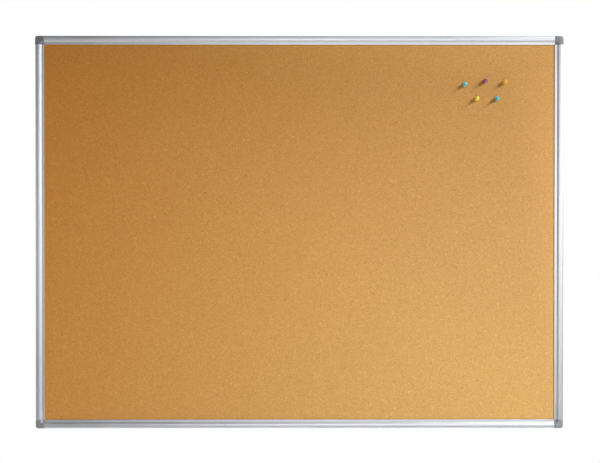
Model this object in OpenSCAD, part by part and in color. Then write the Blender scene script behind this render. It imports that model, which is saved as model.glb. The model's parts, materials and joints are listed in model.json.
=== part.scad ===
// Cork bulletin board in an aluminium frame, to be screwed to a wall.
// The board stands upright: X runs along its width, Z is up and its front faces -Y.
// The origin is the middle of the four wall screws, in the plane of the wall.
//
// Two sets of words are used for places. On a rail or a corner, u and w are the distances in
// from the frame's outer edges, and v is the distance from the wall towards the front.

/* [Board] */
// Width over the frame
board_w = 1200; // [600:10:1800]
// Height over the frame
board_h = 892; // [450:2:1200]
// Depth from the wall to the front of the corner caps
board_depth = 18; // [17.5:0.5:20]

/* [Frame rails] */
// Width of a rail's face
rail_face = 19.5; // [19:0.5:23]
// Width of the raised outer band of the face
band_w = 10; // [10:0.5:11]
// Width of the slope between the band and the lip
slope_w = 4; // [3:0.5:4.5]
// Height of the band's middle over its edges
band_rise = 0.6; // [0.4:0.1:0.8]
// Distance of the lip's face behind the front of the corner caps
lip_drop = 3; // [2.5:0.5:3.5]
// Wall thickness of the extrusion
rail_wall = 1.5; // [1.3:0.1:1.6]
// Width of the flange behind the backing sheet
back_flange = 14; // [12:1:18]

/* [Panel] */
// Thickness of the cork sheet
cork_t = 3; // [2:0.5:4]
// Thickness of the hardboard backing
backing_t = 2; // [1.5:0.5:3]
// Length of the cut across each corner of the panel, along each edge
corner_cut = 14; // [13.5:0.5:15]

/* [Corners] */
// Outer radius of a corner cap
cap_radius = 6; // [4:0.5:7]
// Thickness of a corner cap's front
cap_t = 2; // [1.6:0.1:2.2]
// Distance of each wall screw from the two outer edges
hole_inset = 10.5; // [10.5:0.1:11]
// Radius of the hole for a wall screw
hole_r = 2.25; // [2:0.05:2.5]
// Length of a connector's leg inside a rail
leg_length = 34; // [28:1:60]

/* [Push pins] */
// Radius of the needle
needle_r = 0.55; // [0.5:0.05:0.6]
// Length of needle in the board
needle_in = 8.3; // [6:0.1:8.6]
// Length of needle between the board and the handle
needle_bare = 2; // [0:0.5:4]
// Length of the handle
handle_l = 12.5; // [11.5:0.5:14]
// Radius of the flange at the handle's foot
flange_r = 4.8; // [4.4:0.1:5.2]
// Radius of the handle's top
top_r = 4.5; // [3.4:0.1:4.8]
// Radius of the handle's waist
waist_r = 2.4; // [2:0.1:2.8]

/* [Hidden] */
$fn = 64;

// How far a cutting shape runs past the surface that it opens
past = 1;

// Colours
ALUMINIUM = "#c9ccd1";
CAP_GREY = "#8d9096";
CONNECTOR_GREY = "#5b5e63";
STEEL = "#b9bcc0";

// Corners of the frame: side of the board in X and Z, and turn from the top left corner
TOP_LEFT = [-1, 1, 0];
TOP_RIGHT = [1, 1, 90];
BOTTOM_RIGHT = [1, -1, 180];
BOTTOM_LEFT = [-1, -1, 270];
CORNERS = [TOP_LEFT, TOP_RIGHT, BOTTOM_RIGHT, BOTTOM_LEFT];

// Push pins: distance from the frame's right edge, distance from its top edge, and colour
PINS = [
    [225, 110, "#4fc8d8"],
    [179, 102.5, "#7d2f73"],
    [134, 104.5, "#f7a83c"],
    [197.5, 142, "#ecd549"],
    [151.5, 142, "#4fbdd0"]
];

// Rail section. The band's crest lies a little behind the corner caps.
crest_v = board_depth - 0.2;
band_edge_v = crest_v - band_rise;
band_r = (pow(band_w / 2, 2) + pow(band_rise, 2)) / (2 * band_rise);
band_centre = [band_w / 2, crest_v - band_r];
band_half_angle = asin(band_w / 2 / band_r);
lip_v = board_depth - lip_drop;
lip_round = 0.7;
slope_fall = (band_edge_v - lip_v) / slope_w;
slope_under_v = band_edge_v - rail_wall * sqrt(1 + pow(slope_fall, 2));
groove_u = band_w - 0.3;
chamber_u = groove_u - rail_wall;
chamber_mid = (rail_wall + chamber_u) / 2;
chamber_r = band_r - rail_wall;

// Panel, held between the rail's lip and its back flange
panel_u = groove_u + 0.3;
panel_front = lip_v - rail_wall;
core_back = rail_wall + backing_t;
core_front = panel_front - cork_t;

// Corner cap
cap_gap = 0.15;
cap_far = rail_face - cap_gap;
cap_under = board_depth - cap_t;
skirt_t = 2;
skirt_back = 0.2;
recess_r = rail_face - band_w - slope_w;
recess_top_r = rail_face - band_w;
recess_spread = (recess_top_r - recess_r) / lip_drop;
recess_under = panel_front + 0.2;
recess_wall = 1.5 * sqrt(1 + pow(recess_spread, 2));
tongue_t = 1.5;
tongue_back = 5.5;

// Corner connector
block_near = skirt_t + 0.3;
block_far = rail_face - 0.3;
block_top = panel_front - 0.5;
block_wall = 2;
block_floor = 3;
block_clip = 2 * panel_u + corner_cut - 0.7;
boss_r = 5.6;
boss_top = block_top - 0.5;
head_r = 4.4;
leg_fit = 0.15;
leg_top = crest_v - rail_wall - band_rise - 0.1;
leg_channel = 3.4;
leg_floor = 8.5;
tongue_near = block_near + block_wall + 0.3;
tongue_w = [hole_inset + 4.5, block_far - block_wall - 0.3];

// Frame screws, countersunk into the rails from the back
screw_w = 17;
screw_r = 1.3;
screw_head_r = 2.65;
screw_head_l = 1.35;
screw_l = 8;
screw_core_r = 1.1;
screw_sink = 0.05;
screw_clearance = 0.1;

// Push pins
needle_hole_r = needle_r + 0.05;
needle_point = 2.5;
needle_in_handle = 7;
flange_t = 1.5;
rim_t = 1;
dome_h = 1.6;

// Points of an arc about a centre, from one angle to another
function arc(centre, radius, from, to, steps) = [
    for (i = [0:steps])
        let (a = from + (to - from) * i / steps)
        centre + radius * [cos(a), sin(a)]
];

// An outline in the wall's plane, made solid from one v to another
module slab(from, to) {
    rotate([90, 0, 0])
        translate([0, 0, from])
            linear_extrude(to - from)
                children();
}

// A square-sided bar of a corner, given as its limits in u, v and w
module bar(u, v, w) {
    translate([u[0], -v[1], -w[1]])
        cube([u[1] - u[0], v[1] - v[0], w[1] - w[0]]);
}

// A corner's shape and its mirror image in the corner's diagonal
module both_ways() {
    children();
    mirror([1, 0, 1]) children();
}

// Something drawn for the top left corner, with its outer corner at the origin
module at_corner(corner) {
    translate([corner[0] * board_w / 2, 0, corner[1] * board_h / 2])
        rotate([0, corner[2], 0])
            children();
}

// Something drawn for the top rail, put on the side of the frame that a turn leads to
module at_side(turn, half) {
    rotate([0, turn, 0])
        translate([0, 0, half])
            children();
}

// Something drawn along +Z from the cork's face, at a push pin's place
module at_pin(pin) {
    translate([board_w / 2 - pin[0], -panel_front, board_h / 2 - pin[1]])
        rotate([90, 0, 0])
            children();
}

// ---- Panel ----

// One layer of the panel, with its corners cut off
module panel_layer(from, to) {
    x = board_w / 2 - panel_u;
    z = board_h / 2 - panel_u;
    slab(from, to)
        polygon([
            [-x, z - corner_cut], [corner_cut - x, z], [x - corner_cut, z], [x, z - corner_cut],
            [x, corner_cut - z], [x - corner_cut, -z], [corner_cut - x, -z], [-x, corner_cut - z]
        ]);
}

// Holes that the needles have made, from the cork's face
module needle_holes() {
    for (pin = PINS)
        at_pin(pin)
            translate([0, 0, -needle_in - 0.2])
                cylinder(h = needle_in + past, r = needle_hole_r);
}

module cork_sheet() {
    color("#c8934f")
        difference() {
            panel_layer(core_front, panel_front);
            needle_holes();
        }
}

module fibre_core() {
    color("#a58d6b")
        difference() {
            panel_layer(core_back, core_front);
            needle_holes();
        }
}

module backing_sheet() {
    color("#6f4a2e") panel_layer(rail_wall, core_back);
}

// ---- Frame rails ----

module rail_section() {
    difference() {
        polygon(concat(
            [[0, 0]],
            arc(band_centre, band_r, 90 + band_half_angle, 90 - band_half_angle, 12),
            [[band_w + slope_w, lip_v]],
            arc([rail_face - lip_round, lip_v - lip_round], lip_round, 90, 0, 5),
            [
                [rail_face, panel_front],
                [band_w + (slope_under_v - panel_front) / slope_fall, panel_front],
                [groove_u, slope_under_v + (band_w - groove_u) * slope_fall],
                [groove_u, rail_wall],
                [back_flange, rail_wall],
                [back_flange, 0]
            ]
        ));
        polygon(concat(
            [[chamber_u, rail_wall], [rail_wall, rail_wall]],
            arc(
                band_centre,
                chamber_r,
                acos((rail_wall - band_centre[0]) / chamber_r),
                acos((chamber_u - band_centre[0]) / chamber_r),
                8
            )
        ));
    }
}

// The top rail, with its outer edge at z = 0
module rail(length) {
    color(ALUMINIUM)
        difference() {
            rotate([0, 90, 180])
                linear_extrude(length, center = true)
                    rail_section();
            for (end = [-1, 1])
                translate([end * (length / 2 - screw_w), 0, -chamber_mid])
                    rail_screw_hole();
        }
}

module rail_screw_hole() {
    rotate([90, 0, 0]) {
        translate([0, 0, -past])
            cylinder(h = rail_wall + 2 * past, r = screw_r + screw_clearance);
        cylinder(
            h = screw_head_l,
            r1 = screw_head_r + screw_clearance,
            r2 = screw_r + screw_clearance
        );
    }
}

// ---- Corner connectors ----

// A square with its outer corner rounded, as seen from the front
module corner_outline(near, far, radius) {
    translate([near + radius, -near - radius])
        circle(radius);
    translate([near + radius, -far])
        square([far - near - radius, far - near]);
    translate([near, -far])
        square([far - near, far - near - radius]);
}

// The connector's block, clipped to follow the panel's cut corner
module block_outline(inset) {
    near = block_near + inset;
    far = block_far - inset;
    clip = block_clip - inset * sqrt(2);
    difference() {
        corner_outline(near, far, cap_radius - near);
        polygon([[far + past, far - clip + past], [far + past, -far - past], [clip - far - past, -far - past]]);
    }
}

// One leg, which runs down into the side rail's chamber
module connector_leg() {
    inside = [rail_wall + leg_fit, chamber_u - leg_fit];
    bar([block_near, inside[1]], [inside[0], block_top], [block_far - block_wall, rail_face + 2 * leg_fit]);
    difference() {
        bar(inside, [inside[0], leg_top], [rail_face + leg_fit, rail_face + leg_length]);
        bar(
            [chamber_mid - leg_channel / 2, chamber_mid + leg_channel / 2],
            [leg_floor, leg_top + past],
            [rail_face + leg_fit + block_wall, rail_face + leg_length + past]
        );
    }
}

// The core hole that a frame screw cuts its thread in
module screw_core_hole() {
    translate([chamber_mid, 0, -rail_face - screw_w])
        rotate([90, 0, 0])
            cylinder(h = screw_l, r = screw_core_r);
}

module wall_screw_hole() {
    translate([hole_inset, 0, -hole_inset])
        rotate([90, 0, 0]) {
            translate([0, 0, -past])
                cylinder(h = boss_top + 2 * past, r = hole_r);
            translate([0, 0, boss_top - (head_r - hole_r)])
                cylinder(h = head_r - hole_r, r1 = hole_r, r2 = head_r);
            translate([0, 0, boss_top])
                cylinder(h = past + block_top - boss_top, r = boss_r);
        }
}

module connector(corner) {
    color(CONNECTOR_GREY)
        at_corner(corner)
            difference() {
                union() {
                    slab(0, block_top) block_outline(0);
                    both_ways() connector_leg();
                }
                slab(block_floor, block_top + past)
                    difference() {
                        block_outline(block_wall);
                        translate([hole_inset, -hole_inset]) circle(boss_r);
                    }
                wall_screw_hole();
                both_ways() screw_core_hole();
            }
}

// ---- Corner caps ----

// A cone about the frame's inner corner, as wide as the recess is at each v
module recess_cone(from, to, extra) {
    translate([rail_face, 0, -rail_face])
        rotate([90, 0, 0])
            translate([0, 0, from])
                cylinder(
                    h = to - from,
                    r1 = recess_r + extra + (from - lip_v) * recess_spread,
                    r2 = recess_r + extra + (to - lip_v) * recess_spread
                );
}

module cap(corner) {
    color(CAP_GREY)
        at_corner(corner)
            difference() {
                union() {
                    // Front
                    slab(cap_under, board_depth)
                        corner_outline(0, cap_far, cap_radius);
                    // Skirt round the two outer sides
                    slab(skirt_back, cap_under)
                        difference() {
                            corner_outline(0, cap_far, cap_radius);
                            corner_outline(skirt_t, rail_face + past, cap_radius - skirt_t);
                        }
                    // Underside of the recess
                    intersection() {
                        recess_cone(recess_under, cap_under, recess_wall);
                        slab(recess_under, cap_under)
                            corner_outline(0, cap_far, cap_radius);
                    }
                    // Tongues that grip the connector's pocket
                    both_ways()
                        bar([tongue_near, tongue_near + tongue_t], [tongue_back, cap_under], tongue_w);
                }
                // The recess carries the rails' slopes and lips round the corner
                recess_cone(lip_v, board_depth + past, 0);
            }
}

// ---- Frame screws ----

module frame_screw() {
    translate([chamber_mid, 0, -rail_face - screw_w])
        rotate([90, 0, 0])
            difference() {
                union() {
                    translate([0, 0, screw_sink])
                        cylinder(h = screw_head_l, r1 = screw_head_r, r2 = screw_r);
                    translate([0, 0, screw_sink + screw_head_l])
                        cylinder(h = screw_l - 2 * screw_head_l, r = screw_r);
                    translate([0, 0, screw_l - screw_head_l + screw_sink])
                        cylinder(h = 1, r1 = screw_r, r2 = 0.4);
                }
                // Cross recess
                for (turn = [0, 90])
                    rotate([0, 0, turn])
                        translate([-1.5, -0.3, -past])
                            cube([3, 0.6, past + 0.8]);
            }
}

module frame_screws() {
    color(STEEL)
        for (corner = CORNERS)
            at_corner(corner)
                both_ways() frame_screw();
}

// ---- Push pins ----

// Half of the handle's outline: a flange, a waist that flares to the rim, and a domed top
module handle_outline() {
    foot = needle_bare;
    rim = foot + handle_l - dome_h - rim_t;
    neck = foot + flange_t;
    polygon(concat(
        [[0, foot], [flange_r - 0.5, foot]],
        arc([flange_r - 0.5, foot + 0.5], 0.5, -90, 0, 4),
        arc([flange_r - 0.4, neck - 0.4], 0.4, 0, 90, 4),
        [
            for (i = [0:12])
                let (t = i / 12)
                [waist_r + (top_r - 0.5 - waist_r) * pow(2 * t - 1, 2), neck + (rim - neck) * t]
        ],
        arc([top_r - 0.4, rim + 0.4], 0.4, -60, 0, 3),
        arc([top_r - 0.5, rim + rim_t - 0.5], 0.5, 0, 50, 3),
        [for (i = [0:6]) let (t = 1 - i / 6) [(top_r - 0.5) * t, rim + rim_t + dome_h * (1 - pow(t, 2))]]
    ));
}

module pin_handle(pin) {
    color(pin[2])
        at_pin(pin)
            difference() {
                rotate_extrude() handle_outline();
                translate([0, 0, needle_bare - past])
                    cylinder(h = needle_in_handle + past, r = needle_r);
            }
}

module pin_needle(pin) {
    color(STEEL)
        at_pin(pin) {
            translate([0, 0, needle_point - needle_in])
                cylinder(h = needle_in - needle_point + needle_bare + needle_in_handle, r = needle_r);
            translate([0, 0, -needle_in])
                cylinder(h = needle_point, r1 = 0.08, r2 = needle_r);
        }
}

cork_sheet();
fibre_core();
backing_sheet();
at_side(0, board_h / 2) rail(board_w - 2 * rail_face);  // top_rail
at_side(180, board_h / 2) rail(board_w - 2 * rail_face);  // bottom_rail
at_side(270, board_w / 2) rail(board_h - 2 * rail_face);  // left_rail
at_side(90, board_w / 2) rail(board_h - 2 * rail_face);  // right_rail
connector(TOP_LEFT);  // connector_top_left
connector(TOP_RIGHT);  // connector_top_right
connector(BOTTOM_LEFT);  // connector_bottom_left
connector(BOTTOM_RIGHT);  // connector_bottom_right
cap(TOP_LEFT);  // cap_top_left
cap(TOP_RIGHT);  // cap_top_right
cap(BOTTOM_LEFT);  // cap_bottom_left
cap(BOTTOM_RIGHT);  // cap_bottom_right
frame_screws();
pin_handle(PINS[0]);  // pin_1_handle
pin_needle(PINS[0]);  // pin_1_needle
pin_handle(PINS[1]);  // pin_2_handle
pin_needle(PINS[1]);  // pin_2_needle
pin_handle(PINS[2]);  // pin_3_handle
pin_needle(PINS[2]);  // pin_3_needle
pin_handle(PINS[3]);  // pin_4_handle
pin_needle(PINS[3]);  // pin_4_needle
pin_handle(PINS[4]);  // pin_5_handle
pin_needle(PINS[4]);  // pin_5_needle
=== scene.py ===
"""Looks for a cork bulletin board in an aluminium frame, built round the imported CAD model.

The board hangs upright: X runs along its width, Z is up and its front faces -Y. All lengths are
in metres. On a rail's section, u is the distance in from the frame's outer edge and v is the
distance from the wall towards the front.
"""

import json
import math

import bmesh
import bpy
from mathutils import Matrix, Vector


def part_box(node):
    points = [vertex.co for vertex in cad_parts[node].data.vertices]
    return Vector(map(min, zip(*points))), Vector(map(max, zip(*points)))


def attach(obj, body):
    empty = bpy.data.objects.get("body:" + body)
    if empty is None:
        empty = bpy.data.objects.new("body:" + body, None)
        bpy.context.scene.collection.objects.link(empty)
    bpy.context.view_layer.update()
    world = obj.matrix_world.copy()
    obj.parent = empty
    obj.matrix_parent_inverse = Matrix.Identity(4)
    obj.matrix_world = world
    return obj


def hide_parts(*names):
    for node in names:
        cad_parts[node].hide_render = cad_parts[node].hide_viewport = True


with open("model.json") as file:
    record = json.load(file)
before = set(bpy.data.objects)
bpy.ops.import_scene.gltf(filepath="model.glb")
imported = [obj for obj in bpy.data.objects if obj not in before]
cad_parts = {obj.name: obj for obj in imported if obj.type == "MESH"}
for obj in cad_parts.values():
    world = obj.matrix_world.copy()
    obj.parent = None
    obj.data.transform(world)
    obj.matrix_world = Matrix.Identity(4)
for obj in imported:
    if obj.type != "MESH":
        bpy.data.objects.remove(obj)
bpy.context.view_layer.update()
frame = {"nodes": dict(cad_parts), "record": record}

MM = 0.001
# Degrees about Y that carry the top left corner to each of the four
CORNERS = {"top_left": 0, "top_right": 90, "bottom_right": 180, "bottom_left": 270}
PINS = (1, 2, 3, 4, 5)


# ---------------------------------------------------------------- places, from the CAD model

def size_of(node):
    """A CAD node's size along X, Y and Z."""
    low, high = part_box(node)
    return Vector(high) - Vector(low)


def middle_of(node):
    """The middle of a CAD node's box."""
    low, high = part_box(node)
    return (Vector(low) + Vector(high)) / 2


_, frame_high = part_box("cap_top_right")
HALF_W = frame_high[0]
HALF_H = frame_high[2]
RAIL_FACE = size_of("top_rail")[2]
CREST_V = size_of("top_rail")[1]
CORK_V = -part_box("cork_sheet")[0][1]
BACKING_V = -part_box("backing_sheet")[1][1]


# ---------------------------------------------------------------- mesh helpers

def piece_from_bmesh(name, bm, material, body, smooth_angle=30):
    """A finished piece: recalculated normals, smooth shading under an angle, material and body."""
    bmesh.ops.recalc_face_normals(bm, faces=bm.faces)
    mesh = bpy.data.meshes.new(name)
    bm.to_mesh(mesh)
    bm.free()
    mesh.materials.append(material)
    mesh.shade_smooth()
    mesh.set_sharp_from_angle(angle=math.radians(smooth_angle))
    piece = bpy.data.objects.new(name, mesh)
    bpy.context.scene.collection.objects.link(piece)
    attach(piece, body)
    return piece


def arc(centre, radius, start, end, steps):
    """Points of an arc, with its angles in degrees."""
    points = []
    for i in range(steps + 1):
        a = math.radians(start + (end - start) * i / steps)
        points.append((centre[0] + radius * math.cos(a), centre[1] + radius * math.sin(a)))
    return points


def fillet(before, corner, after, radius, steps=4):
    """The points that round off one corner of an outline."""
    corner = Vector(corner)
    to_before = (Vector(before) - corner).normalized()
    to_after = (Vector(after) - corner).normalized()
    half = to_before.angle(to_after) / 2
    reach = radius / math.tan(half)
    centre = corner + (to_before + to_after).normalized() * (radius / math.sin(half))
    start = corner + to_before * reach - centre
    end = corner + to_after * reach - centre
    return [tuple(centre + start.lerp(end, i / steps).normalized() * radius) for i in range(steps + 1)]


def rounded_outline(corners):
    """An outline from (u, v, radius) corners, each with its own rounding."""
    outline = []
    for i, (u, v, radius) in enumerate(corners):
        if radius:
            before = corners[i - 1][:2]
            after = corners[(i + 1) % len(corners)][:2]
            outline += fillet(before, (u, v), after, radius)
        else:
            outline.append((u, v))
    return outline


def cut_holes(bm, cutters):
    """Takes each cutter, a bmesh, away from bm, and returns the result as a new bmesh."""
    scene = bpy.context.scene

    def temporary(source):
        mesh = bpy.data.meshes.new("temporary")
        source.to_mesh(mesh)
        source.free()
        made = bpy.data.objects.new("temporary", mesh)
        scene.collection.objects.link(made)
        return made

    body = temporary(bm)
    tools = [temporary(cutter) for cutter in cutters]
    for tool in tools:
        cut = body.modifiers.new("cut", "BOOLEAN")
        cut.operation = "DIFFERENCE"
        cut.solver = "EXACT"
        cut.object = tool
    evaluated = body.evaluated_get(bpy.context.evaluated_depsgraph_get())
    result = bmesh.new()
    result.from_mesh(evaluated.to_mesh())
    evaluated.to_mesh_clear()
    for made in [body, *tools]:
        bpy.data.objects.remove(made, do_unlink=True)
    return result


def turned(profile, segments, place):
    """A bmesh of a (radius, height) profile turned about a line that leaves the board at place."""
    bm = bmesh.new()
    rings = []
    for radius, height in profile:
        if radius == 0:
            rings.append([bm.verts.new(place + Vector((0, -height, 0)))])
            continue
        ring = []
        for i in range(segments):
            a = math.tau * i / segments
            spoke = Vector((radius * math.cos(a), -height, radius * math.sin(a)))
            ring.append(bm.verts.new(place + spoke))
        rings.append(ring)
    for lower, upper in zip(rings, rings[1:]):
        for i in range(segments):
            j = (i + 1) % segments
            corners = [
                lower[i % len(lower)], lower[j % len(lower)],
                upper[j % len(upper)], upper[i % len(upper)],
            ]
            unique = list(dict.fromkeys(corners))
            if len(unique) > 2:
                bm.faces.new(unique)
    return bm


def rounded_cad_copy(node, radius, sharp_angle=25, segments=3):
    """A copy of a CAD node's mesh with its flat faces joined up and its sharp edges rounded."""
    source = frame["nodes"][node]
    bm = bmesh.new()
    bm.from_mesh(source.data)
    bm.transform(source.matrix_world)
    bmesh.ops.remove_doubles(bm, verts=bm.verts, dist=0.002 * MM)
    bmesh.ops.dissolve_limit(bm, angle_limit=math.radians(0.5), verts=bm.verts, edges=bm.edges)
    sharp = [
        e for e in bm.edges
        if len(e.link_faces) == 2 and e.calc_face_angle(0) > math.radians(sharp_angle)
    ]
    bmesh.ops.bevel(
        bm, geom=sharp, offset=radius, offset_type="OFFSET", segments=segments, profile=0.5,
        affect="EDGES", clamp_overlap=True, loop_slide=True,
    )
    return bm


# ---------------------------------------------------------------- material helpers

class Shader:
    """A node material under construction, with a short call for each kind of node."""

    def __init__(self, name):
        self.material = bpy.data.materials.new(name)
        self.material.use_nodes = True
        self.tree = self.material.node_tree
        self.bsdf = self.tree.nodes["Principled BSDF"]
        self.place = self.node("ShaderNodeTexCoord").outputs["Object"]

    def node(self, kind, inputs=None, **settings):
        made = self.tree.nodes.new(kind)
        for key, value in settings.items():
            setattr(made, key, value)
        for key, value in (inputs or {}).items():
            self.put(made.inputs[key], value)
        return made

    def put(self, socket, value):
        if isinstance(value, bpy.types.NodeSocket):
            self.tree.links.new(value, socket)
        else:
            socket.default_value = value

    def surface(self, **values):
        """Sets the surface shader's own sockets, with _ in a name for a space."""
        for key, value in values.items():
            self.put(self.bsdf.inputs[key.replace("_", " ")], value)

    def stretched(self, scale):
        """The object's coordinates, scaled along each axis."""
        return self.node(
            "ShaderNodeVectorMath", {0: self.place, 1: scale}, operation="MULTIPLY"
        ).outputs["Vector"]

    def noise(self, scale, detail=2.0, roughness=0.5, place=None, output="Fac"):
        return self.node("ShaderNodeTexNoise", {
            "Vector": place or self.place, "Scale": scale, "Detail": detail, "Roughness": roughness,
        }).outputs[output]

    def cells(self, scale, place=None, feature="F1", output="Distance"):
        return self.node("ShaderNodeTexVoronoi", {
            "Vector": place or self.place, "Scale": scale,
        }, feature=feature).outputs[output]

    def wobbled(self, scale, amount):
        """The object's coordinates, shifted a little by noise."""
        shift = self.node("ShaderNodeVectorMath", {
            0: self.noise(scale, 2, output="Color"), 1: (0.5, 0.5, 0.5),
        }, operation="SUBTRACT").outputs["Vector"]
        scaled = self.node(
            "ShaderNodeVectorMath", {0: shift, "Scale": amount}, operation="SCALE"
        ).outputs["Vector"]
        return self.node("ShaderNodeVectorMath", {0: self.place, 1: scaled}).outputs["Vector"]

    def math(self, operation, a, b=0.0):
        return self.node("ShaderNodeMath", {0: a, 1: b}, operation=operation).outputs["Value"]

    def span(self, value, from_low, from_high, to_low, to_high):
        """A value carried from one range to another, and held inside the second."""
        return self.node("ShaderNodeMapRange", {
            "Value": value, "From Min": from_low, "From Max": from_high,
            "To Min": to_low, "To Max": to_high,
        }).outputs["Result"]

    def channel(self, colour, name):
        return self.node("ShaderNodeSeparateColor", {"Color": colour}).outputs[name]

    def ramp(self, value, stops):
        """A colour ramp through (position, (r, g, b)) stops."""
        made = self.node("ShaderNodeValToRGB", {"Fac": value})
        elements = made.color_ramp.elements
        while len(elements) < len(stops):
            elements.new(0.5)
        for element, (position, colour) in zip(elements, stops):
            element.position = position
            element.color = (*colour, 1)
        return made.outputs["Color"]

    def mix(self, factor, a, b):
        """Two colours mixed, each of them a socket or (r, g, b)."""
        made = self.node("ShaderNodeMix", data_type="RGBA")
        self.put(made.inputs["Factor"], factor)
        # Inputs 6 and 7 are the node's two colours, and output 2 is their mixture
        for index, colour in ((6, a), (7, b)):
            value = colour if isinstance(colour, bpy.types.NodeSocket) else (*colour, 1)
            self.put(made.inputs[index], value)
        return made.outputs[2]

    def bump(self, height, distance, strength=1.0, under=None):
        inputs = {"Height": height, "Distance": distance, "Strength": strength}
        if under:
            inputs["Normal"] = under
        return self.node("ShaderNodeBump", inputs).outputs["Normal"]


# ---------------------------------------------------------------- materials

def cork_material():
    """Pressed cork: sanded granules of many browns, with dark flecks of bark and pits between them."""
    big_granule = 2.0 * MM
    small_granule = 1.0 * MM
    fleck_spacing = 7.5 * MM
    s = Shader("cork")
    place = s.wobbled(700, 1.3 * MM)
    big = s.cells(1 / big_granule, place, output="Color")
    small = s.cells(1 / small_granule, place, output="Color")
    which = s.span(s.noise(260, 2), 0.46, 0.54, 0, 1)
    pick = s.mix(which, big, small)
    tone = s.channel(pick, "Red")
    granules = s.ramp(tone, [
        (0.0, (0.500, 0.217, 0.026)),
        (0.12, (0.590, 0.280, 0.036)),
        (0.5, (0.665, 0.331, 0.047)),
        (0.85, (0.723, 0.378, 0.061)),
        (1.0, (0.797, 0.447, 0.088)),
    ])
    hue = s.channel(pick, "Green")
    granules = s.mix(s.span(hue, 0, 1, 0, 0.22), granules, (0.680, 0.294, 0.031))
    fine = s.noise(2600, 3, 0.6)
    granules = s.mix(s.span(fine, 0.35, 0.65, 0.0, 0.13), granules, (0.347, 0.160, 0.030))
    gaps = s.cells(1 / big_granule, place, feature="DISTANCE_TO_EDGE")
    granules = s.mix(s.span(gaps, 0.0, 0.09, 0.26, 0.0), granules, (0.290, 0.124, 0.022))
    # Flecks of bark, up to one in each cell of a coarse grid
    fleck_place = s.wobbled(1500, 0.9 * MM)
    fleck = s.cells(1 / fleck_spacing, fleck_place)
    fleck_size = s.span(s.noise(90, 1), 0.4, 0.7, 0.0, 0.075)
    fleck_mask = s.math("LESS_THAN", fleck, fleck_size)
    granules = s.mix(s.math("MULTIPLY", fleck_mask, 0.6), granules, (0.150, 0.065, 0.028))
    # Slow mottling across the sheet
    slow = s.noise(9, 3, 0.55)
    mottled = s.mix(s.span(slow, 0.3, 0.7, 0.0, 0.05), granules, (0.454, 0.212, 0.036))
    height = s.math("ADD", s.math("MULTIPLY", tone, 0.35), s.span(gaps, 0.0, 0.12, 0.0, 0.45))
    height = s.math("ADD", height, s.math("MULTIPLY", fine, 0.45))
    s.surface(
        Base_Color=mottled,
        Roughness=s.span(tone, 0, 1, 0.72, 0.88),
        Specular_IOR_Level=0.25,
        Sheen_Weight=0.04,
        Sheen_Roughness=0.6,
        Normal=s.bump(height, 0.16 * MM, 0.8),
    )
    return s.material


def softboard_material():
    """Soft fibreboard, loosely felted wood fibres."""
    s = Shader("softboard")
    fibres = s.noise(1, 4, 0.65, s.stretched((900, 900, 2600)))
    clumps = s.noise(320, 4, 0.6)
    tone = s.math("ADD", s.math("MULTIPLY", fibres, 0.6), s.math("MULTIPLY", clumps, 0.4))
    s.surface(
        Base_Color=s.ramp(tone, [
            (0.3, (0.235, 0.150, 0.078)), (0.5, (0.375, 0.262, 0.150)), (0.7, (0.500, 0.375, 0.235)),
        ]),
        Roughness=s.span(clumps, 0.3, 0.7, 0.85, 0.97),
        Specular_IOR_Level=0.2,
        Normal=s.bump(tone, 0.5 * MM),
    )
    return s.material


def hardboard_material():
    """The screen side of hardboard: brown, with the mark of the press's wire mesh and long fibres."""
    mesh_pitch = 1.6 * MM
    s = Shader("hardboard")
    axes = s.node("ShaderNodeSeparateXYZ", {0: s.wobbled(120, 0.25 * MM)}).outputs
    across = s.math("SINE", s.math("MULTIPLY", axes["X"], math.tau / mesh_pitch))
    upward = s.math("SINE", s.math("MULTIPLY", axes["Z"], math.tau / mesh_pitch))
    weave = s.span(s.math("MULTIPLY", across, upward), -1, 1, 0, 1)
    fibres = s.noise(1, 4, 0.65, s.stretched((2200, 2200, 500)))
    cross_fibres = s.noise(1, 4, 0.65, s.stretched((450, 2200, 2300)))
    felt = s.math("ADD", s.math("MULTIPLY", fibres, 0.5), s.math("MULTIPLY", cross_fibres, 0.5))
    cloud = s.noise(14, 4, 0.6)
    colour = s.ramp(felt, [
        (0.3, (0.085, 0.037, 0.016)), (0.5, (0.168, 0.082, 0.038)), (0.7, (0.275, 0.150, 0.075)),
    ])
    colour = s.mix(s.span(cloud, 0.3, 0.7, 0.0, 0.35), colour, (0.110, 0.052, 0.026))
    colour = s.mix(s.span(weave, 0.0, 0.5, 0.22, 0.0), colour, (0.060, 0.028, 0.014))
    height = s.math("ADD", s.math("MULTIPLY", weave, 0.6), s.math("MULTIPLY", felt, 0.5))
    s.surface(
        Base_Color=colour,
        Roughness=s.span(felt, 0.3, 0.7, 0.55, 0.8),
        Specular_IOR_Level=0.4,
        Normal=s.bump(height, 0.15 * MM),
    )
    return s.material


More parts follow.
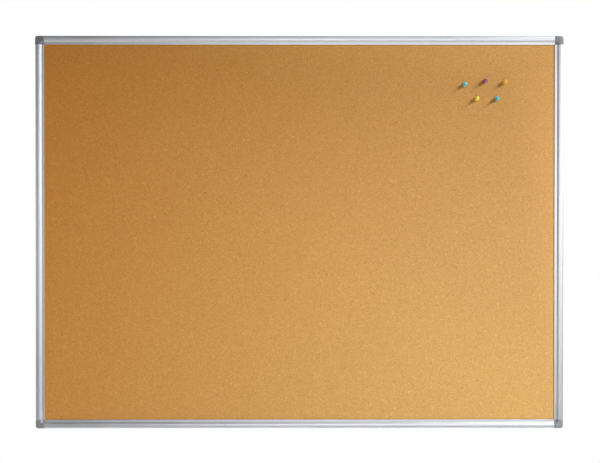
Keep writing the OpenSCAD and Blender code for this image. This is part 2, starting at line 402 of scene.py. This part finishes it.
def aluminium_material(name, along):
    """Satin anodised extrusion, with fine die lines along one axis: 0 is X and 2 is Z."""
    s = Shader(name)
    fine_scale = [9000.0, 9000.0, 9000.0]
    fine_scale[along] = 4.0
    broad_scale = [1300.0, 1300.0, 1300.0]
    broad_scale[along] = 1.2
    fine = s.noise(1, 3, 0.6, s.stretched(fine_scale))
    broad = s.noise(1, 2, 0.5, s.stretched(broad_scale))
    grain = s.noise(5200, 2, 0.6)
    handling = s.noise(16, 4, 0.6)
    lines = s.math("ADD", s.math("MULTIPLY", fine, 0.55), s.math("MULTIPLY", broad, 0.45))
    rough = s.math("ADD", s.span(lines, 0.3, 0.7, 0.36, 0.46), s.span(handling, 0.35, 0.7, -0.02, 0.05))
    s.surface(
        Base_Color=s.ramp(lines, [
            (0.25, (0.640, 0.655, 0.682)), (0.5, (0.705, 0.718, 0.745)), (0.75, (0.755, 0.766, 0.790)),
        ]),
        Metallic=1.0,
        Roughness=rough,
        Normal=s.bump(grain, 0.004 * MM, under=s.bump(lines, 0.006 * MM)),
    )
    return s.material


def moulded_material(name, dark, middle, light, roughness):
    """A moulding with a spark-eroded grain, flow marks and slightly polished high spots."""
    s = Shader(name)
    grain = s.noise(3200, 3, 0.6)
    flow = s.noise(1, 3, 0.55, s.stretched((220, 220, 60)))
    wear = s.noise(130, 4, 0.65)
    s.surface(
        Base_Color=s.ramp(
            s.math("ADD", s.math("MULTIPLY", flow, 0.7), s.math("MULTIPLY", grain, 0.3)),
            [(0.3, dark), (0.5, middle), (0.7, light)],
        ),
        Roughness=s.span(wear, 0.3, 0.7, roughness - 0.06, roughness + 0.08),
        Specular_IOR_Level=0.9,
        Normal=s.bump(grain, 0.02 * MM),
    )
    return s.material


def pin_material(name, dark, middle, light):
    """Glossy polystyrene of a push pin, with swirls of pigment and hair scratches."""
    s = Shader(name)
    swirl = s.noise(260, 3, 0.6, s.wobbled(160, 4 * MM))
    scratches = s.noise(1, 2, 0.5, s.stretched((9000, 900, 9000)))
    s.surface(
        Base_Color=s.ramp(swirl, [(0.3, dark), (0.5, middle), (0.7, light)]),
        Roughness=s.span(scratches, 0.35, 0.7, 0.14, 0.26),
        Specular_IOR_Level=0.55,
        Subsurface_Weight=0.12,
        Subsurface_Scale=2 * MM,
        Coat_Weight=0.8,
        Coat_Roughness=0.08,
        Normal=s.bump(scratches, 0.003 * MM),
    )
    return s.material


def steel_material(name, colour, roughness):
    """Bright steel with turning marks and a slightly uneven tone."""
    s = Shader(name)
    marks = s.noise(1, 3, 0.6, s.stretched((2500, 14000, 2500)))
    tone = s.noise(900, 3, 0.6)
    darker = tuple(0.72 * c for c in colour)
    s.surface(
        Base_Color=s.ramp(tone, [(0.3, darker), (0.6, colour)]),
        Metallic=1.0,
        Roughness=s.span(marks, 0.3, 0.7, roughness - 0.06, roughness + 0.08),
        Normal=s.bump(marks, 0.004 * MM),
    )
    return s.material


def floor_material():
    """A pale matte floor, very slightly clouded."""
    s = Shader("studio_floor")
    s.surface(
        Base_Color=s.ramp(s.noise(3, 4, 0.6), [(0.3, (0.78, 0.78, 0.77)), (0.7, (0.82, 0.82, 0.81))]),
        Roughness=0.7,
    )
    return s.material


CORK = cork_material()
SOFTBOARD = softboard_material()
HARDBOARD = hardboard_material()
ALUMINIUM_X = aluminium_material("aluminium_across", 0)
ALUMINIUM_Z = aluminium_material("aluminium_upright", 2)
CAP_PLASTIC = moulded_material(
    "cap_plastic", (0.200, 0.210, 0.228), (0.246, 0.258, 0.280), (0.287, 0.300, 0.326), 0.38
)
CONNECTOR_PLASTIC = moulded_material(
    "connector_plastic", (0.075, 0.077, 0.082), (0.100, 0.102, 0.108), (0.130, 0.132, 0.140), 0.58
)
ZINC = steel_material("zinc_steel", (0.62, 0.63, 0.66), 0.32)
NEEDLE_STEEL = steel_material("needle_steel", (0.78, 0.78, 0.79), 0.16)
PIN_COLOURS = {
    "pin_cyan": ((0.070, 0.490, 0.550), (0.115, 0.610, 0.670), (0.180, 0.710, 0.760)),
    "pin_purple": ((0.240, 0.028, 0.150), (0.360, 0.050, 0.240), (0.470, 0.085, 0.330)),
    "pin_orange": ((0.920, 0.440, 0.035), (1.000, 0.550, 0.060), (1.000, 0.640, 0.110)),
    "pin_yellow": ((0.920, 0.740, 0.050), (1.000, 0.860, 0.080), (1.000, 0.930, 0.140)),
}
PIN_PLASTICS = {name: pin_material(name, *colours) for name, colours in PIN_COLOURS.items()}


# ---------------------------------------------------------------- frame rails

BAND_W = 10.0 * MM
SLOPE_W = 4.0 * MM
BAND_RISE = 0.6 * MM
RAIL_WALL = 1.5 * MM
BACK_FLANGE = 14.0 * MM
GROOVE_U = BAND_W - 0.3 * MM
CHAMBER_U = GROOVE_U - RAIL_WALL
LIP_V = CORK_V + RAIL_WALL
BAND_EDGE_V = CREST_V - BAND_RISE
BAND_R = ((BAND_W / 2) ** 2 + BAND_RISE ** 2) / (2 * BAND_RISE)
SLOPE_FALL = (BAND_EDGE_V - LIP_V) / SLOPE_W
SLOPE_UNDER_V = BAND_EDGE_V - RAIL_WALL * math.hypot(1, SLOPE_FALL)
SCREW_W = 17 * MM
SCREW_U = (RAIL_WALL + CHAMBER_U) / 2
SCREW_R = 1.4 * MM
SCREW_HEAD_R = 2.75 * MM
SCREW_HEAD_L = 1.35 * MM
BAND_STEPS = 20
CHAMBER_STEPS = 10


def band_v(u, depth=0.0):
    """Height of the band's curve at u, or of a curve at some depth under it."""
    radius = BAND_R - depth
    return CREST_V - BAND_R + math.sqrt(radius ** 2 - (u - BAND_W / 2) ** 2)


def rail_outline():
    """The outside of the section. The curve's first and last steps are left to the rounded corners."""
    steps = [BAND_W * i / BAND_STEPS for i in range(3, BAND_STEPS - 1)]
    band = [(u, band_v(u), 0) for u in steps]
    return rounded_outline([
        (0, 0, 0.3 * MM),
        (0, BAND_EDGE_V, 1.0 * MM),
        *band,
        (BAND_W, BAND_EDGE_V, 0.5 * MM),
        (BAND_W + SLOPE_W, LIP_V, 0.7 * MM),
        (RAIL_FACE, LIP_V, 0.6 * MM),
        (RAIL_FACE, CORK_V, 0.2 * MM),
        (BAND_W + (SLOPE_UNDER_V - CORK_V) / SLOPE_FALL, CORK_V, 0.3 * MM),
        (GROOVE_U, SLOPE_UNDER_V + (BAND_W - GROOVE_U) * SLOPE_FALL, 0.3 * MM),
        (GROOVE_U, BACKING_V, 0.3 * MM),
        (BACK_FLANGE, BACKING_V, 0.3 * MM),
        (BACK_FLANGE, 0, 0.3 * MM),
    ])


def chamber_outline():
    """The closed chamber inside the section."""
    width = CHAMBER_U - RAIL_WALL
    top = [RAIL_WALL + width * i / CHAMBER_STEPS for i in range(1, CHAMBER_STEPS)]
    return rounded_outline([
        (CHAMBER_U, RAIL_WALL, 0.3 * MM),
        (RAIL_WALL, RAIL_WALL, 0.3 * MM),
        (RAIL_WALL, band_v(RAIL_WALL, RAIL_WALL), 0.3 * MM),
        *[(u, band_v(u, RAIL_WALL), 0) for u in top],
        (CHAMBER_U, band_v(CHAMBER_U, RAIL_WALL), 0.3 * MM),
    ])


def extruded_rail(length):
    """The top rail as a bmesh with its outer edge at z = 0, before its screw holes."""
    bm = bmesh.new()
    ends = {-1: [], 1: []}
    for outline in (rail_outline(), chamber_outline()):
        loops = {}
        for side in ends:
            loops[side] = [bm.verts.new((side * length / 2, -v, -u)) for u, v in outline]
        count = len(outline)
        for i in range(count):
            j = (i + 1) % count
            bm.faces.new((loops[-1][i], loops[-1][j], loops[1][j], loops[1][i]))
            for side in ends:
                ends[side].append(bm.edges.get((loops[side][i], loops[side][j])))
    for edges in ends.values():
        bmesh.ops.triangle_fill(bm, use_beauty=True, edges=edges)
    bmesh.ops.recalc_face_normals(bm, faces=bm.faces)
    return bm


def screw_hole_cutter(place):
    """A cutter for a countersunk hole, from the back of a rail."""
    past = 0.5 * MM
    profile = [
        (0, -past),
        (SCREW_HEAD_R + past, -past),
        (SCREW_R, SCREW_HEAD_L),
        (SCREW_R, RAIL_WALL + past),
        (0, RAIL_WALL + past),
    ]
    cutter = turned(profile, 32, place)
    bmesh.ops.recalc_face_normals(cutter, faces=cutter.faces)
    return cutter


def make_rail(node, turn, half, material):
    """A rail, turned about Y by some degrees, with its outer edge half a frame from the middle."""
    length = max(size_of(node))
    cutters = [
        screw_hole_cutter(Vector((end * (length / 2 - SCREW_W), 0, -SCREW_U))) for end in (-1, 1)
    ]
    bm = cut_holes(extruded_rail(length), cutters)
    bm.transform(Matrix.Rotation(math.radians(turn), 4, "Y") @ Matrix.Translation((0, 0, half)))
    rail = piece_from_bmesh(f"{node}_extrusion", bm, material, "board")
    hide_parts(node)


make_rail("top_rail", 0, HALF_H, ALUMINIUM_X)
make_rail("bottom_rail", 180, HALF_H, ALUMINIUM_X)
make_rail("left_rail", 270, HALF_W, ALUMINIUM_Z)
make_rail("right_rail", 90, HALF_W, ALUMINIUM_Z)


# ---------------------------------------------------------------- corner caps and connectors

def carried_to(corner, first):
    """A copy of the top left corner's mesh, carried to another corner."""
    side = 1 if "right" in corner else -1
    level = 1 if "top" in corner else -1
    bm = first.copy()
    bm.transform(
        Matrix.Translation((side * HALF_W, 0, level * HALF_H))
        @ Matrix.Rotation(math.radians(CORNERS[corner]), 4, "Y")
        @ Matrix.Translation((HALF_W, 0, -HALF_H))
    )
    return bm


first_cap = rounded_cad_copy("cap_top_left", 0.35 * MM)
first_connector = rounded_cad_copy("connector_top_left", 0.25 * MM)
for corner in CORNERS:
    node = f"cap_{corner}"
    cap = piece_from_bmesh(
        f"{node}_moulding", carried_to(corner, first_cap), CAP_PLASTIC, node
    )
    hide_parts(node)
    node = f"connector_{corner}"
    connector = piece_from_bmesh(
        f"{node}_moulding", carried_to(corner, first_connector), CONNECTOR_PLASTIC, "board",
    )
    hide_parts(node)
first_cap.free()
first_connector.free()

screws = piece_from_bmesh(
    "frame_screws_zinc", rounded_cad_copy("frame_screws", 0.07 * MM, 35, 2), ZINC, "board"
)
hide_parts("frame_screws")


# ---------------------------------------------------------------- panel

NEEDLE_HOLE_R = 0.6 * MM
CORNER_CUT = 14 * MM


def clipped_slab(node):
    """A bmesh of one layer of the panel, with its corners cut off and its edges slightly broken."""
    low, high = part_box(node)
    x, z = high[0], high[2]
    outline = [
        (-x, z - CORNER_CUT), (CORNER_CUT - x, z), (x - CORNER_CUT, z), (x, z - CORNER_CUT),
        (x, CORNER_CUT - z), (x - CORNER_CUT, -z), (CORNER_CUT - x, -z), (-x, CORNER_CUT - z),
    ]
    bm = bmesh.new()
    front = [bm.verts.new((px, low[1], pz)) for px, pz in outline]
    back = [bm.verts.new((px, high[1], pz)) for px, pz in outline]
    bm.faces.new(front)
    bm.faces.new(back[::-1])
    for i in range(len(outline)):
        j = (i + 1) % len(outline)
        bm.faces.new((front[j], front[i], back[i], back[j]))
    bmesh.ops.recalc_face_normals(bm, faces=bm.faces)
    bmesh.ops.bevel(
        bm, geom=bm.edges[:], offset=0.15 * MM, offset_type="OFFSET", segments=2, profile=0.5,
        affect="EDGES",
    )
    return bm


def pin_place(n):
    """The point of the cork's face that a push pin's needle goes in at."""
    middle = middle_of(f"pin_{n}_handle")
    return Vector((middle.x, -CORK_V, middle.z))


def needle_hole_cutter(n, depth):
    """A cutter for a needle's hole, from in front of the cork to some depth."""
    above = 1 * MM
    profile = [(0, -depth), (NEEDLE_HOLE_R, -depth), (NEEDLE_HOLE_R, above), (0, above)]
    cutter = turned(profile, 20, pin_place(n))
    bmesh.ops.recalc_face_normals(cutter, faces=cutter.faces)
    return cutter


cork_depth = size_of("cork_sheet")[1] + 1 * MM
cork_mesh = cut_holes(clipped_slab("cork_sheet"), [needle_hole_cutter(n, cork_depth) for n in PINS])
cork = piece_from_bmesh("cork_facing", cork_mesh, CORK, "board")
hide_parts("cork_sheet")
cork_pieces = [cork]

for n in PINS:
    # The needle has pushed up a low rim of cork round its hole.
    rim = turned(
        [
            (NEEDLE_HOLE_R, -0.3 * MM), (NEEDLE_HOLE_R, 0.06 * MM), (0.75 * MM, 0.14 * MM),
            (1.0 * MM, 0.13 * MM), (1.5 * MM, 0.05 * MM), (2.1 * MM, -0.02 * MM),
        ],
        24, pin_place(n),
    )
    cork_pieces.append(piece_from_bmesh(f"cork_rim_{n}", rim, CORK, "board", 60))

for node, material in (("fibre_core", SOFTBOARD), ("backing_sheet", HARDBOARD)):
    carried = frame["nodes"][node]
    carried.data.materials.clear()
    carried.data.materials.append(material)


# ---------------------------------------------------------------- push pins

def handle_profile(length, flange_r):
    """(radius, height) points of a handle: flange, waist and domed top with the mould's gate mark."""
    rim_r = 4.5 * MM
    waist_r = 2.4 * MM
    flange_t = 1.5 * MM
    crown = length - 1.6 * MM
    rim_low = crown - 1.0 * MM
    waist_low = flange_t + 0.12 * MM
    waist_steps = 18
    dome_steps = 12
    profile = [(0.7 * MM, 0.25 * MM), (0.7 * MM, 0)]
    profile += arc((flange_r - 0.5 * MM, 0.5 * MM), 0.5 * MM, -90, 0, 5)
    profile += arc((flange_r - 0.45 * MM, flange_t - 0.45 * MM), 0.45 * MM, 0, 80, 5)
    for i in range(waist_steps + 1):
        t = i / waist_steps
        flare = (rim_r - 0.45 * MM - waist_r) * abs(2 * t - 1) ** 2.2
        profile.append((waist_r + flare, waist_low + (rim_low - waist_low) * t))
    profile += arc((rim_r - 0.4 * MM, rim_low + 0.42 * MM), 0.4 * MM, -70, 0, 4)
    profile += arc((rim_r - 0.5 * MM, crown - 0.5 * MM), 0.5 * MM, 0, 50, 5)
    for i in range(1, dome_steps):
        t = 1 - i / dome_steps
        profile.append(((rim_r - 0.4 * MM) * t, crown + (length - crown) * (1 - t ** 2)))
    return profile + [(0.25 * MM, length - 0.02 * MM), (0, length - 0.12 * MM)]


def needle_profile(length, shank_r):
    """(radius, height) points of a needle, from its point to its blunt end in the handle."""
    point_l = 2.6 * MM
    chamfer = 0.1 * MM
    return [
        (0, 0), (0.05 * MM, 0.04 * MM), (0.32 * MM, 1.2 * MM), (shank_r, point_l),
        (shank_r, length - chamfer), (shank_r - chamfer, length), (0, length),
    ]


slots = {part["node"]: part["material_slot"] for part in frame["record"]["subparts"]}
grips = []
for n in PINS:
    plastic = slots[f"pin_{n}_handle"]
    size = size_of(f"pin_{n}_handle")
    foot = pin_place(n)
    foot.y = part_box(f"pin_{n}_handle")[1][1]
    grip = piece_from_bmesh(
        f"pin_{n}_grip", turned(handle_profile(size.y, size.x / 2), 48, foot),
        PIN_PLASTICS[plastic], f"pin_{n}", 40,
    )
    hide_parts(f"pin_{n}_handle")
    grips.append(grip)
    needle_low, needle_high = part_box(f"pin_{n}_needle")
    needle_r = (needle_high[0] - needle_low[0]) / 2
    tip = pin_place(n)
    tip.y = needle_high[1]
    needle_length = needle_high[1] - needle_low[1]
    needle = piece_from_bmesh(
        f"pin_{n}_needle_steel", turned(needle_profile(needle_length, needle_r), 24, tip),
        NEEDLE_STEEL, f"pin_{n}", 40,
    )
    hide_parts(f"pin_{n}_needle")


# ---------------------------------------------------------------- floor, light and camera

FLOOR_Z = -1.5
FLOOR_R = 3.2
FRONT_KEY_PLACE = (4.4, -4.63, 2.63)
SIDE_KEY_PLACE = (5.56, -2.67, 3.3)
KEY_TARGET = (0.45, 0, -0.95)
KEY_BEAM = 34
WARM_PLACE = (-2.08, -1.2, 0.15)
WARM = (1, 0.32, 0)
COOL_PLACE = (0.5, -0.7, -1.05)
COOL = (0.2, 0.6, 1)
BLUE_TARGET = (0.75, 0, -0.45)
BLUE_BEAM = 22
BLUE = (0, 0.05, 1)


def aimed_light(name, kind, place, target, power, colour=(1, 1, 1)):
    """A lamp at a place that points at a target."""
    data = bpy.data.lights.new(name, kind)
    data.energy = power
    data.color = colour
    light = bpy.data.objects.new(name, data)
    light.location = place
    light.rotation_mode = "QUATERNION"
    light.rotation_quaternion = (Vector(target) - Vector(place)).to_track_quat("-Z", "Y")
    bpy.context.scene.collection.objects.link(light)
    return light


def spot_light(name, place, target, power, beam, radius, colour=(1, 1, 1)):
    """A lamp with a beam that fades all the way out from its middle."""
    light = aimed_light(name, "SPOT", place, target, power, colour)
    light.data.spot_size = math.radians(beam)
    light.data.spot_blend = 1
    light.data.shadow_soft_size = radius
    return light


def soft_box(name, place, power, colour=(1, 1, 1), size=1.2):
    """A square lamp that faces the middle of the board."""
    light = aimed_light(name, "AREA", place, (0, 0, 0), power, colour)
    light.data.size = size
    return light


def reflector(name, place, power):
    """A soft box that shows only as a reflection in the metal and the plastic."""
    soft_box(name, place, power).visible_diffuse = False


def shine_only_on(light, pieces):
    """Limits a lamp's light to some pieces."""
    receivers = bpy.data.collections.new(f"{light.name}_receivers")
    for piece in pieces:
        receivers.objects.link(piece)
    light.light_linking.receiver_collection = receivers


def tinted_fill(name, place, power, colour, pieces):
    """A tinted soft box that lights some pieces alone, so the tint stays off the frame."""
    light = soft_box(name, place, power, colour)
    light.visible_glossy = False
    shine_only_on(light, pieces)


def make_floor():
    """A pale round floor with a lamp of its own."""
    bm = bmesh.new()
    bmesh.ops.create_circle(bm, cap_ends=True, radius=FLOOR_R, segments=96)
    bm.transform(Matrix.Translation((0, 0, FLOOR_Z)))
    mesh = bpy.data.meshes.new("studio_floor")
    bm.to_mesh(mesh)
    bm.free()
    mesh.materials.append(floor_material())
    floor = bpy.data.objects.new("studio_floor", mesh)
    bpy.context.scene.collection.objects.link(floor)
    lamp = aimed_light("floor_lamp", "SUN", (0, 0, 3), (0, 0, 0), 1.4)
    lamp.data.angle = math.radians(20)
    shine_only_on(lamp, [floor])


def make_world(seen, lit):
    """A backdrop of one brightness to the camera and another as a light."""
    world = bpy.data.worlds.new("studio")
    bpy.context.scene.world = world
    world.use_nodes = True
    nodes, links = world.node_tree.nodes, world.node_tree.links
    background = nodes["Background"]
    background.inputs["Color"].default_value = (1, 1, 1, 1)
    ray = nodes.new("ShaderNodeLightPath").outputs["Is Camera Ray"]
    strength = nodes.new("ShaderNodeMapRange")
    strength.inputs["To Min"].default_value = lit
    strength.inputs["To Max"].default_value = seen
    links.new(ray, strength.inputs["Value"])
    links.new(strength.outputs["Result"], background.inputs["Strength"])


def make_camera():
    """Almost straight in front of the board, and far enough off for little perspective."""
    distance = 2.0
    seen_width = 1.3638
    camera_x, camera_z = -0.005, 0.015
    aim_x, aim_z = 0.001, 0.002
    place = Vector((camera_x, -CREST_V - distance, camera_z))
    aim = Vector((aim_x, -CREST_V, aim_z))
    data = bpy.data.cameras.new("camera")
    data.sensor_width = 36
    data.lens = data.sensor_width * distance / seen_width
    camera = bpy.data.objects.new("camera", data)
    camera.location = place
    camera.rotation_mode = "QUATERNION"
    camera.rotation_quaternion = (aim - place).to_track_quat("-Z", "Y")
    bpy.context.scene.collection.objects.link(camera)
    bpy.context.scene.camera = camera


make_floor()
make_world(seen=1.0, lit=0.09)
# Two keys from the upper right give the pins a short dark shadow and a long faint one.
spot_light("front_key", FRONT_KEY_PLACE, KEY_TARGET, 1165, KEY_BEAM, 0.6)
side_key = spot_light("side_key", SIDE_KEY_PLACE, KEY_TARGET, 2090, KEY_BEAM, 1.3)
side_key.visible_glossy = False
# The cork goes from a warm tone at the left to a cooler one at the lower right.
tinted_fill("warm_fill", WARM_PLACE, 13.0, WARM, cork_pieces + grips)
tinted_fill("cool_fill", COOL_PLACE, 7.5, COOL, cork_pieces)
blue_key = spot_light("blue_key", FRONT_KEY_PLACE, BLUE_TARGET, 4300, BLUE_BEAM, 0.6, BLUE)
blue_key.visible_glossy = False
shine_only_on(blue_key, cork_pieces)
reflector("right_reflector", (1.3, -2.25, 0), 7.4)
reflector("high_right_reflector", (1.47, -1.2, 1.47), 4.9)
reflector("left_reflector", (-2.08, -1.2, 0), 6.6)
reflector("high_reflector", (0, -2.25, 1.3), 2.6)
reflector("front_reflector", (0, -3.2, 0), 12.5)
reflector("overhead_reflector", (0, 0.3, 2.2), 7.0)
soft_box("left_back_light", (-2.2, 2.2, 1.2), 62, size=1.5)
soft_box("right_back_light", (2.2, 2.4, 0.8), 54, size=1.5)
make_camera()
bpy.context.scene.view_settings.view_transform = "Standard"
